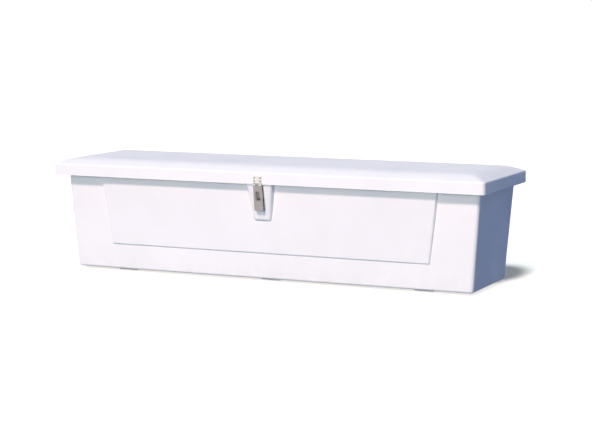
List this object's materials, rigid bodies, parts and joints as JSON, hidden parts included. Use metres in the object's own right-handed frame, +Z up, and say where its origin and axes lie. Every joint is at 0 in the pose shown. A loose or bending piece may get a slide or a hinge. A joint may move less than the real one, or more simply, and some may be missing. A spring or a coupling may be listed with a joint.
{
  "type": "dock box",
  "caption": "Long low fibreglass dock box with a tapered tub, raised front panel and latch boss, an overhanging hinged lid, a hasp, and slotted lid stays.",
  "frame": {"origin": "on the ground under the middle of the lid, on the underside of the middle skid", "axes": "+X along the length to the right seen from the front, -Y to the front, +Z up"},
  "size_m": [1.8288, 0.5226, 0.4572],
  "materials": {
    "gelcoat": "white gelcoat, semi-gloss",
    "liner": "off-white painted laminate",
    "stainless": "stainless steel, satin",
    "alloy": "plain aluminium",
    "seal": "black foam rubber",
    "plywood": "resin-coated plywood",
    "runner": "white marine polyethylene"
  },
  "bodies": {
    "body": {"body_shell": "gelcoat", "rim_seal": "seal", "skid_left": "runner", "skid_middle": "runner", "skid_right": "runner", "skid_screws": "stainless", "hinge_leaf_body": "stainless", "hinge_pin": "stainless", "hinge_rivets_body": "alloy", "hinge_strip_body": "alloy", "staple_plate": "stainless", "staple_screws": "stainless", "staple_nuts": "stainless", "staple_backing_plate": "stainless", "stay_pad_left": "plywood", "stay_pad_right": "plywood", "stay_stud_left": "stainless", "stay_stud_right": "stainless", "stay_stud_screws": "stainless"},
    "lid": {"lid_shell": "gelcoat", "lid_core": "plywood", "lid_liner": "liner", "hinge_leaf_lid": "stainless", "hinge_rivets_lid": "alloy", "hinge_strip_lid": "alloy", "hasp_leaf": "stainless", "hasp_pin": "stainless", "hasp_screws": "stainless", "hasp_nuts": "stainless", "hasp_backing_plate": "stainless", "stay_bracket_left": "stainless", "stay_bracket_right": "stainless", "stay_pivot_left": "stainless", "stay_pivot_right": "stainless", "stay_bracket_screws": "stainless"},
    "hasp_strap": {"hasp_strap": "stainless"},
    "staple_ring": {"staple_ring": "stainless"},
    "stay_arm_left": {"stay_arm_left": "stainless"},
    "stay_arm_right": {"stay_arm_right": "stainless"}
  },
  "joints": [
    {"name": "lid_hinge", "type": "hinge", "parent": "body", "child": "lid", "pos_m": [0, 0.2573, 0.3842], "axis": [-1, 0, 0], "range_deg": [0, 90]},
    {"name": "hasp_swing", "type": "hinge", "parent": "lid", "child": "hasp_strap", "pos_m": [0, -0.2582, 0.3872], "axis": [-1, 0, 0], "range_deg": [-7, 182]},
    {"name": "ring_fold", "type": "hinge", "parent": "body", "child": "staple_ring", "pos_m": [0, -0.24324, 0.35453], "axis": [-1, 0, 0], "range_deg": [0, 90]},
    {"name": "stay_left_fold", "type": "hinge", "parent": "lid", "child": "stay_arm_left", "pos_m": [-0.84847, 0.10878, 0.4052], "axis": [1, 0, 0], "range_deg": [0, 45]},
    {"name": "stay_right_fold", "type": "hinge", "parent": "lid", "child": "stay_arm_right", "pos_m": [0.84847, 0.10878, 0.4052], "axis": [1, 0, 0], "range_deg": [0, 45]}
  ],
  "couplings": [
    {"joint": "stay_left_fold", "follows": "lid_hinge", "ratio": 0.5},
    {"joint": "stay_right_fold", "follows": "lid_hinge", "ratio": 0.5}
  ]
}
